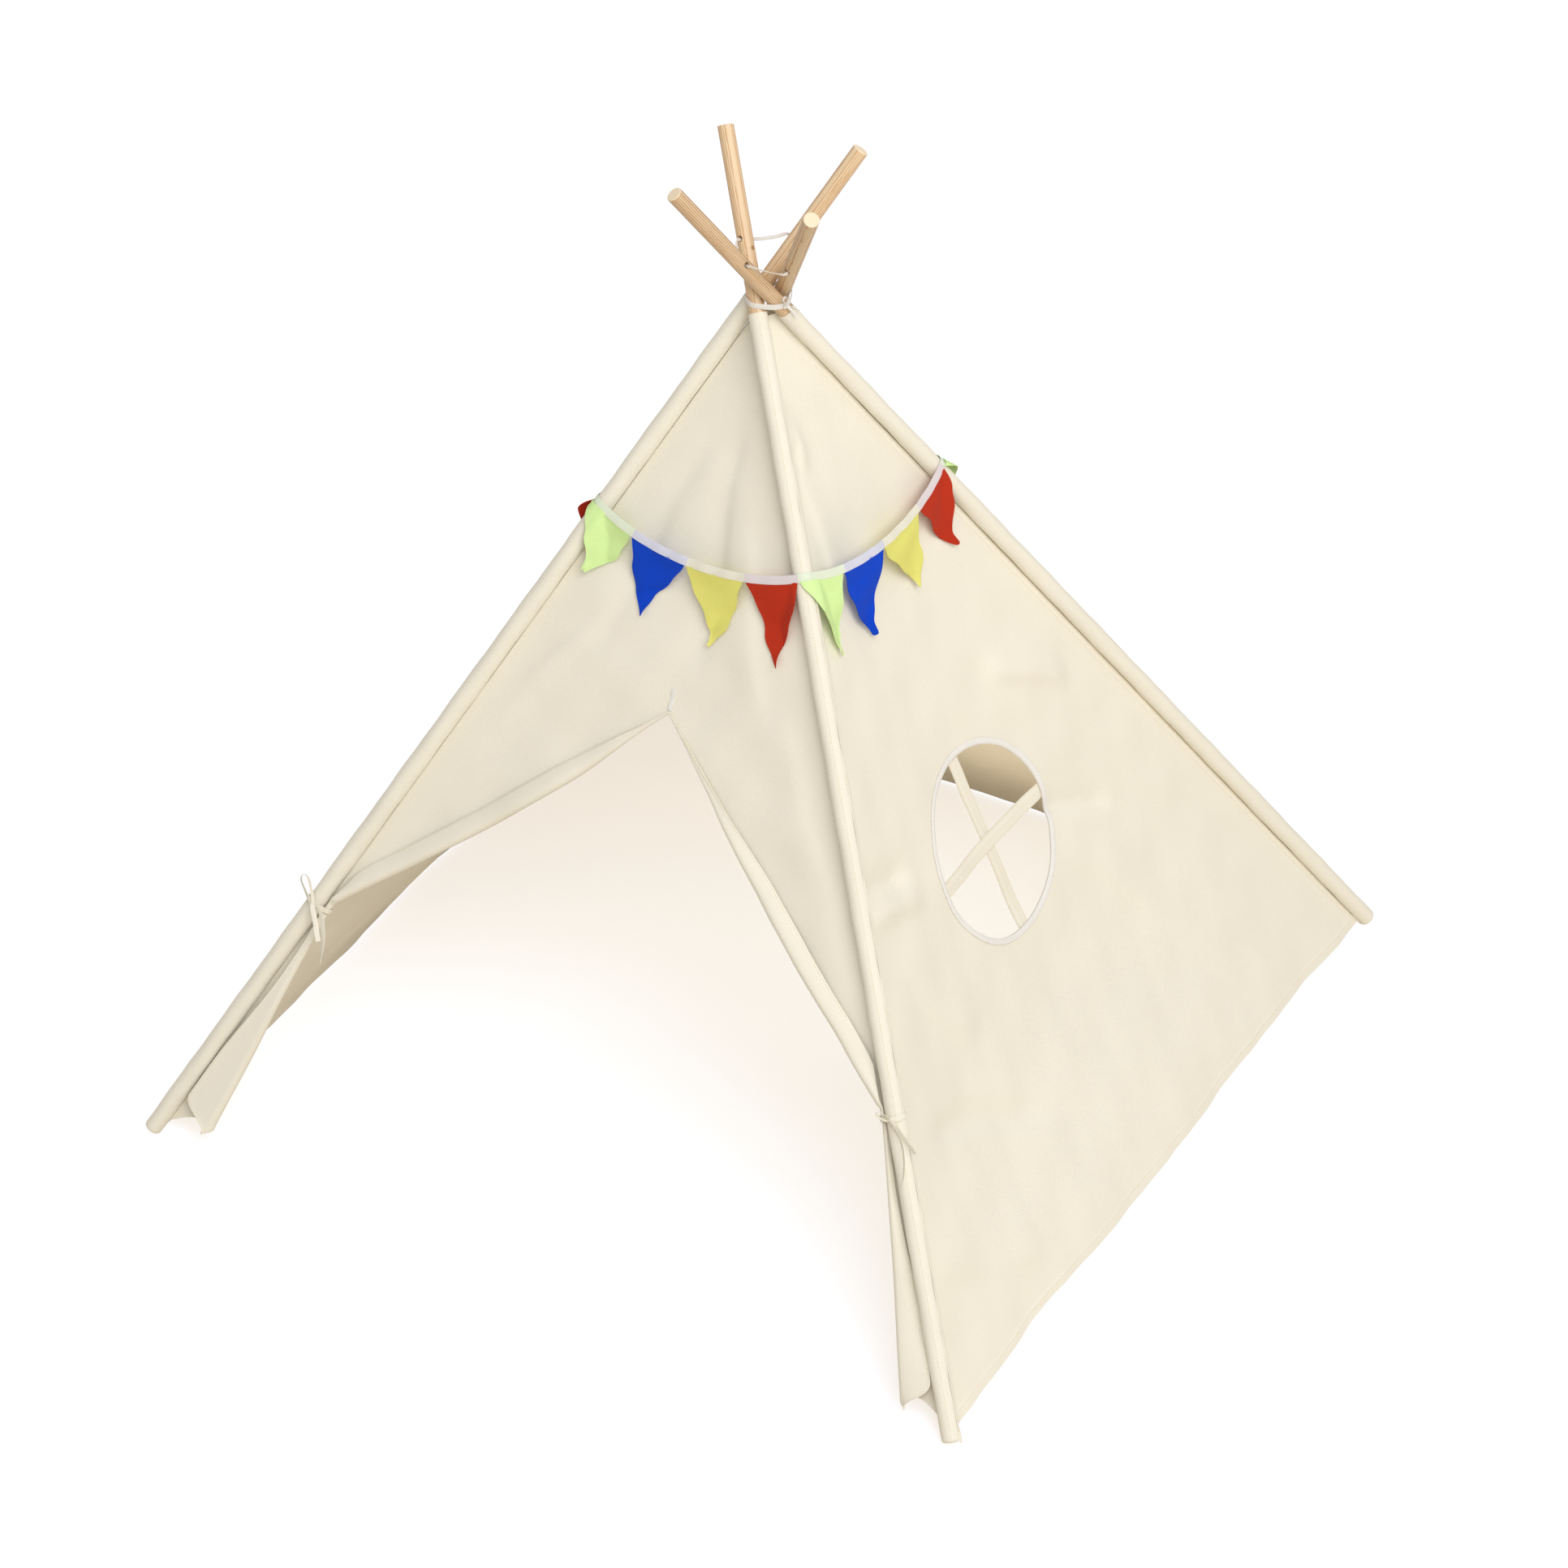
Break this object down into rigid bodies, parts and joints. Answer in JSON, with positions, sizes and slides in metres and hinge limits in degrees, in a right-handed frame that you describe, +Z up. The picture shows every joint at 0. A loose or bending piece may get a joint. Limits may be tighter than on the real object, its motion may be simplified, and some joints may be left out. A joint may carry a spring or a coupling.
{
  "type": "play teepee",
  "caption": "Child's canvas teepee on crossed wooden poles, with an open door tied back at both sides, a round window with crossed straps and a bunting of coloured flags",
  "frame": {"origin": "on the floor under the middle of the square base", "axes": "+Z up; the door wall faces -Y and the window wall faces +X"},
  "size_m": [1.1864, 1.1864, 1.296],
  "materials": {
    "pine": "sanded, unfinished",
    "canvas": "natural cotton canvas, matte",
    "white_tape": "woven cotton tape, matte",
    "green_cotton": "printed cotton, matte",
    "blue_cotton": "printed cotton, matte",
    "yellow_cotton": "printed cotton, matte",
    "red_cotton": "printed cotton, matte"
  },
  "bodies": {
    "crown": {"top_tie_loop": "white_tape", "top_tie_knot": "white_tape", "top_tie_bow": "white_tape", "threading_tape": "white_tape"},
    "left_leg": {"left_pole": "pine", "left_pole_sleeve": "canvas", "front_wall": "canvas", "left_door_flap_fold": "canvas", "left_tie_back_loop": "canvas", "left_tie_back_knot": "canvas", "left_tie_back_bow": "canvas", "door_slit_tab": "white_tape", "bunting_tape_front": "white_tape", "flag_front_green": "green_cotton", "flag_front_blue": "blue_cotton", "flag_front_yellow": "yellow_cotton", "flag_front_red": "red_cotton"},
    "front_leg": {"front_pole": "pine", "front_pole_sleeve": "canvas", "right_wall": "canvas", "right_door_flap_fold": "canvas", "right_tie_back_loop": "canvas", "right_tie_back_knot": "canvas", "right_tie_back_bow": "canvas", "window_binding": "white_tape", "window_upright_strap": "canvas", "window_level_strap": "canvas", "bunting_tape_right": "white_tape", "flag_right_green": "green_cotton", "flag_right_blue": "blue_cotton", "flag_right_yellow": "yellow_cotton", "flag_right_red": "red_cotton"},
    "right_leg": {"right_pole": "pine", "right_pole_sleeve": "canvas", "rear_wall": "canvas", "bunting_tape_rear": "white_tape", "flag_rear_green": "green_cotton", "flag_rear_blue": "blue_cotton", "flag_rear_yellow": "yellow_cotton", "flag_rear_red": "red_cotton"},
    "rear_leg": {"rear_pole": "pine", "rear_pole_sleeve": "canvas", "left_wall": "canvas", "bunting_tape_left": "white_tape", "flag_left_green": "green_cotton", "flag_left_blue": "blue_cotton", "flag_left_yellow": "yellow_cotton", "flag_left_red": "red_cotton"},
    "left_door_tail": {"left_door_flap_tail": "canvas"},
    "right_door_tail": {"right_door_flap_tail": "canvas"}
  },
  "joints": [
    {"name": "front_leg_fold", "type": "hinge", "parent": "crown", "child": "front_leg", "pos_m": [-0.01245, -0.013, 1.12791], "axis": [0.6916, 0.7223, 0], "range_deg": [0, 29], "deforming": ["top_tie_loop", "top_tie_knot", "top_tie_bow", "threading_tape", "front_wall", "left_door_flap_fold", "left_tie_back_loop", "left_tie_back_knot", "left_tie_back_bow", "door_slit_tab", "bunting_tape_front", "flag_front_green", "flag_front_blue", "flag_front_yellow", "flag_front_red", "right_wall", "right_door_flap_fold", "right_tie_back_loop", "right_tie_back_knot", "right_tie_back_bow", "window_binding", "window_upright_strap", "window_level_strap", "bunting_tape_right", "flag_right_green", "flag_right_blue", "flag_right_yellow", "flag_right_red", "rear_wall", "bunting_tape_rear", "flag_rear_green", "flag_rear_blue", "flag_rear_yellow", "flag_rear_red", "left_wall", "bunting_tape_left", "flag_left_green", "flag_left_blue", "flag_left_yellow", "flag_left_red"]},
    {"name": "right_leg_fold", "type": "hinge", "parent": "crown", "child": "right_leg", "pos_m": [0.013, -0.01245, 1.12791], "axis": [-0.7223, 0.6916, 0], "range_deg": [0, 29]},
    {"name": "rear_leg_fold", "type": "hinge", "parent": "crown", "child": "rear_leg", "pos_m": [0.01245, 0.013, 1.12791], "axis": [-0.6916, -0.7223, 0], "range_deg": [0, 29]},
    {"name": "left_leg_fold", "type": "hinge", "parent": "crown", "child": "left_leg", "pos_m": [-0.013, 0.01245, 1.12791], "axis": [0.7223, -0.6916, 0], "range_deg": [0, 29]},
    {"name": "left_door_swing", "type": "hinge", "parent": "left_leg", "child": "left_door_tail", "pos_m": [-0.50411, -0.50048, 0.16119], "axis": [-0.4094, -0.4276, -0.8059], "range_deg": [0, 60]},
    {"name": "right_door_swing", "type": "hinge", "parent": "front_leg", "child": "right_door_tail", "pos_m": [0.50048, -0.50411, 0.16119], "axis": [-0.4276, 0.4094, 0.8059], "range_deg": [0, 60]}
  ],
  "couplings": [
    {"joint": "right_leg_fold", "follows": "front_leg_fold", "ratio": 1},
    {"joint": "rear_leg_fold", "follows": "front_leg_fold", "ratio": 1},
    {"joint": "left_leg_fold", "follows": "front_leg_fold", "ratio": 1}
  ]
}
